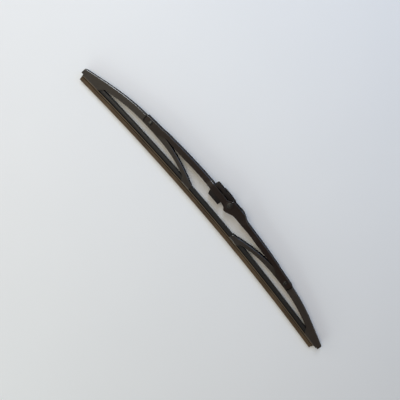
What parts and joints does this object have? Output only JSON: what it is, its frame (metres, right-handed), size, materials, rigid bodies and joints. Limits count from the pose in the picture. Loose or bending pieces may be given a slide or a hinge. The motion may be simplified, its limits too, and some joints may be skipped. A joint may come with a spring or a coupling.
{
  "type": "wiper blade",
  "caption": "Steel-framed wiper blade: a pressed bridge with a pivoting hook adapter carries two pivoting levers, whose claws hold a bowed rubber strip with steel spines.",
  "frame": {"origin": "centre of the arm pin, on its axis at mid-width of the blade", "axes": "+X along the blade towards the end past the pin's lobe, +Y from the rubber's lip towards the back of the bridge, +Z along the arm pin"},
  "size_m": [0.458, 0.051, 0.0176],
  "materials": {
    "bridge_paint": "satin black stoved paint, lightly scuffed along the folds",
    "lever_paint": "satin black stoved paint, lightly scuffed along the folds",
    "rivet_paint": "satin black over a set head",
    "adapter_nylon": "moulded black nylon, fine grain",
    "liner_nylon": "moulded black nylon",
    "wiping_rubber": "black extruded rubber with a dry, dusty bloom",
    "spine_steel": "darkened cold-rolled strip"
  },
  "bodies": {
    "bridge": {"main_bridge": "bridge_paint", "centre_rivet": "rivet_paint", "lever_rivet_left": "rivet_paint", "lever_rivet_right": "rivet_paint", "pivot_liner_left": "liner_nylon", "pivot_liner_right": "liner_nylon", "wiping_rubber": "wiping_rubber", "spine_front": "spine_steel", "spine_rear": "spine_steel"},
    "adapter": {"arm_adapter": "adapter_nylon"},
    "left_lever": {"lever_left": "lever_paint"},
    "right_lever": {"lever_right": "lever_paint"}
  },
  "joints": [
    {"name": "adapter_pivot", "type": "hinge", "parent": "bridge", "child": "adapter", "pos_m": [0, 0, 0], "axis": [0, 0, 1], "range_deg": [-95, 8]},
    {"name": "lever_left_pivot", "type": "hinge", "parent": "bridge", "child": "left_lever", "pos_m": [-0.1385, -0.0096, 0], "axis": [0, 0, 1], "range_deg": [-2.5, 3], "deforming": ["wiping_rubber", "spine_front", "spine_rear"]},
    {"name": "lever_right_pivot", "type": "hinge", "parent": "bridge", "child": "right_lever", "pos_m": [0.1225, -0.0096, 0], "axis": [0, 0, 1], "range_deg": [-3, 2.5], "deforming": ["wiping_rubber", "spine_front", "spine_rear"]}
  ]
}
